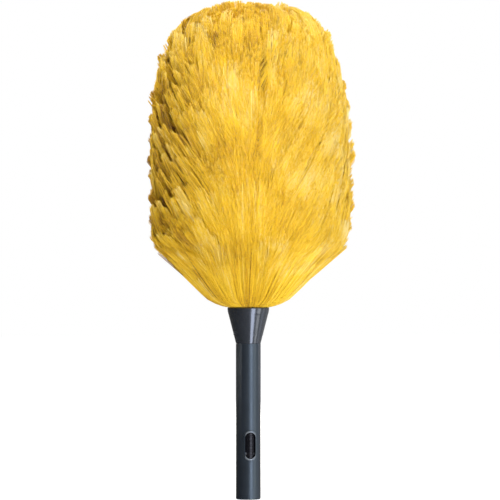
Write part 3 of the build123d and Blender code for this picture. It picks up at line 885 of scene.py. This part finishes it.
def build_undercoat():
    """The close mass beneath the lock ends: near the surface where the pile is even, deep
    between the separate locks."""
    columns = UNDERCOAT_COLUMNS
    outline = np.concatenate([along_chain(FLARE[1:11], np.linspace(0, 1, 40)),
                              along_chain(WALL, np.linspace(0.02, 0.955, 92))])
    heading = unit(np.gradient(outline, axis=0))
    angles = np.arange(columns) / columns * TAU
    rings, tints = [], []
    for (radius, z), (run, rise) in zip(outline, heading):
        place = (angles, np.full(columns, z))
        clump, shaded, hollow = clumpiness(*place), shaded_side(*place), pocket(*place)
        parting = crease(*place, np.full(columns, radius))
        broad, fine = broad_streak(*place), fine_streak(*place)
        above_flare, crown = smooth(z, 255, 290), smooth(z, 468, 494)
        inset = ((1.6 + 3.2 * smooth(z, 225, 275) + 3.5 * crown
                  + (4.5 * clump + 4.0 * shaded + 4.0 * hollow + 2.0 * parting) * above_flare)
                 - (0.25 * fine + 0.2 * broad) * smooth(z, 215, 250))
        rings.append(polar(np.maximum(radius - inset * rise, 0), angles, z + inset * run))
        # Undercoat tint: a painted highlight on the lit right side; less painted shade under the
        # flare; painted shade on the left, between clumped locks, in the hollows and in the
        # partings; lighter at the crown; the rest is the fibre's own varied tone.
        tints.append(0.5 + 0.10 * painted_light_side(angles) + 0.22 * (1 - smooth(z, 225, 275))
                     + 0.08 * field(*place, 8, 1.5) + 0.07 * broad + 0.08 * fine
                     + 0.10 * crown - 0.10 * clump * above_flare
                     - 0.32 * shaded - 0.30 * hollow - 0.40 * parting)
    outer = len(rings)
    top_z = rings[-1][:, 2].mean()
    for radius, z in UNDERCOAT_BORE:
        rings.append(polar(radius, angles, z))
        tints.append(np.full(columns, 0.3))
    verts = np.array(rings)
    verts[:outer] = groom(verts[:outer].reshape(-1, 3)).reshape(outer, columns, 3)
    total = len(verts)
    bore_top = UNDERCOAT_BORE[0][1]
    points = np.concatenate([verts.reshape(-1, 3), [[0, 0, top_z + 0.5]], [[0, 0, bore_top]]])

    # the outer skin and the bore are joined at the foot, and each is capped at its top
    joins = [(i, i + 1) for i in range(total - 1) if i != outer - 1] + [(total - 1, 0)]
    quads = [ring_quads(low * columns, high * columns, columns) for low, high in joins]
    here = np.arange(columns)
    after = (here + 1) % columns
    skin_top, bore_first = (outer - 1) * columns, outer * columns
    skin_cap = np.stack([skin_top + here, skin_top + after, np.full(columns, total * columns)], -1)
    bore_cap = np.stack([bore_first + after, bore_first + here,
                         np.full(columns, total * columns + 1)], -1)
    mass = build_mesh("pile_undercoat", points * MM,
                      [np.concatenate(quads), np.concatenate([skin_cap, bore_cap])])
    add_float(mass, "tint", np.concatenate([np.array(tints).ravel(), [0.45, 0.3]]))
    # along is fixed below the middle, so the material's painted root shade darkens the whole
    # undercoat a little
    add_float(mass, "along", np.full(len(points), 0.4))
    ring_v = np.concatenate([np.linspace(0.02, 0.78, outer),
                             np.linspace(0.82, 0.98, total - outer)])
    uv = np.stack([np.tile(angles / TAU * 0.98 + 0.01, total), np.repeat(ring_v, columns)], -1)
    add_uv(mass, np.concatenate([uv, [[0.5, 0.79]], [[0.5, 0.81]]]))
    register(mass, undercoat_material, "pile_fibre", *PILE_NAMES)


build_tiers()
build_surface()
build_flare()
build_undercoat()


# ---------------------------------------------------------------- button spring, metres
def build_spring():
    """A coil along y with a close turn at each end, at its rest length; the real spring shortens as
    the button goes in.
    """
    turns, wire_r, coil_r, sides, press = 9, 0.00032, 0.0025, 10, 0.0026
    low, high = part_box("button_spring")
    middle_z = (low.z + high.z) / 2
    steps = 36 * turns
    angle = np.linspace(0, TAU * turns, steps)
    lead = np.interp(angle / TAU, [0, 1, turns - 1, turns], [0, 0.05, 0.95, 1.0])
    y = low.y + wire_r + (high.y - low.y - 2 * wire_r) * lead
    centre = np.stack([coil_r * np.cos(angle), y, middle_z + coil_r * np.sin(angle)], -1)
    radial = np.stack([np.cos(angle), np.zeros(steps), np.sin(angle)], -1)
    across = np.cross(unit(np.gradient(centre, axis=0)), radial)
    corners = []
    for k in range(sides):
        turn = TAU * k / sides
        corners.append(centre + wire_r * (math.cos(turn) * radial + math.sin(turn) * across))
    verts = np.stack(corners, 1).reshape(-1, 3)
    quads = np.concatenate(
        [ring_quads(i * sides, (i + 1) * sides, sides) for i in range(steps - 1)])
    around = np.arange(sides)
    caps = np.stack([around[::-1], (steps - 1) * sides + around])
    spring = build_mesh("button_spring_coil", verts, [quads, caps])
    register(spring, solids["spring_steel"], "spring_steel", "button_spring")
    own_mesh(spring)


build_spring()

# ---------------------------------------------------------------- stage, light and camera
scene = bpy.context.scene
scene.view_settings.view_transform = "Standard"
scene.view_settings.look = "None"


def build_floor():
    """A white floor just under the duster, with a glow only the camera sees."""
    half, z = 6, -0.0004
    corners = np.array([(-half, -half, z), (half, -half, z), (half, half, z), (-half, half, z)])
    floor = build_mesh("floor", corners, [np.array([[0, 1, 2, 3]])], smooth_shade=False)
    material, tree, bsdf = new_material("floor_white")
    seen = tree.nodes.new("ShaderNodeLightPath").outputs["Is Camera Ray"]
    feed(tree, bsdf, Base_Color=(0.9, 0.9, 0.9, 1), Roughness=0.9, Specular_IOR_Level=0.0,
         Emission_Color=(1, 1, 1, 1),
         Emission_Strength=math_node(tree, "MULTIPLY", seen, 0.80))
    floor.data.materials.append(material)
    floor.visible_glossy = False
    floor.visible_shadow = False


def build_world():
    """White to the camera; to everything else, dim on the left and brighter on the right."""
    world = bpy.data.worlds.new("studio")
    scene.world = world
    world.use_nodes = True
    tree = world.node_tree
    seen = tree.nodes.new("ShaderNodeLightPath").outputs["Is Camera Ray"]
    coord = tree.nodes.new("ShaderNodeTexCoord")
    sidewise = tree.nodes.new("ShaderNodeVectorMath")
    sidewise.operation = "DOT_PRODUCT"
    tree.links.new(coord.outputs["Generated"], sidewise.inputs[0])
    sidewise.inputs[1].default_value = (RIGHT[0], RIGHT[1], 0.0)
    room = map_range(tree, sidewise.outputs["Value"], From_Min=-1.0, From_Max=1.0,
                     To_Min=0.045, To_Max=0.44)
    unseen = math_node(tree, "SUBTRACT", 1.0, seen)
    strength = math_node(tree, "ADD", math_node(tree, "MULTIPLY", seen, 1.0),
                         math_node(tree, "MULTIPLY", unseen, room))
    feed(tree, tree.nodes["Background"], Color=(1, 1, 1, 1), Strength=strength)


def aim_from(obj, target, back, distance):
    """Places an object back from a target and turns its -Z on to it."""
    obj.location = target + back * distance
    obj.rotation_mode = "QUATERNION"
    obj.rotation_quaternion = (-back).to_track_quat("-Z", "Y")


def soft_box(name, turn, rise, distance, size, power, colour=(1, 1, 1)):
    """A rectangular light aimed at the head: turn in degrees from the camera, + to the right,
    rise in degrees above level."""
    light = bpy.data.lights.new(name, "AREA")
    light.shape = "RECTANGLE"
    light.size, light.size_y = size
    light.energy = power
    light.color = colour
    box = bpy.data.objects.new(name, light)
    scene.collection.objects.link(box)
    angle, lift = CAMERA_TURN + math.radians(turn), math.radians(rise)
    back = Vector((math.sin(angle) * math.cos(lift), -math.cos(angle) * math.cos(lift),
                   math.sin(lift)))
    aim_from(box, Vector((0, 0, 0.30)), back, distance)
    return box


def build_camera():
    """A long lens, level, a little to the right of the axis."""
    distance, shift, height, field_width, sensor = 3.2, 0.00175, 0.2546, 0.5115, 36
    data = bpy.data.cameras.new("camera")
    camera = bpy.data.objects.new("camera", data)
    scene.collection.objects.link(camera)
    scene.camera = camera
    data.sensor_width = sensor
    data.lens = sensor * distance / field_width
    data.clip_end = 50
    back = Vector((math.sin(CAMERA_TURN), -math.cos(CAMERA_TURN), 0))
    aim_from(camera, Vector((RIGHT[0] * shift, RIGHT[1] * shift, height)), back, distance)


build_floor()
build_world()
soft_box("key", turn=29, rise=-4, distance=1.6, size=(0.60, 2.4), power=22.8,
         colour=(0.94, 0.98, 1.18))
soft_box("side", turn=64, rise=0, distance=1.6, size=(0.6, 1.9), power=8)
front_fill = soft_box("front_fill", turn=-7, rise=8, distance=1.9, size=(1.1, 1.1), power=13.8,
                      colour=(1.0, 0.96, 0.70))
front_fill.visible_glossy = False
soft_box("rim", turn=97, rise=0, distance=1.6, size=(0.5, 1.9), power=1.4,
         colour=(0.95, 0.98, 1.12))
soft_box("top", turn=-20, rise=70, distance=1.3, size=(0.7, 0.7), power=14,
         colour=(1.0, 0.97, 0.85))
soft_box("back", turn=186, rise=22, distance=1.8, size=(1.2, 1.2), power=32,
         colour=(1.0, 0.98, 0.90))
build_camera()
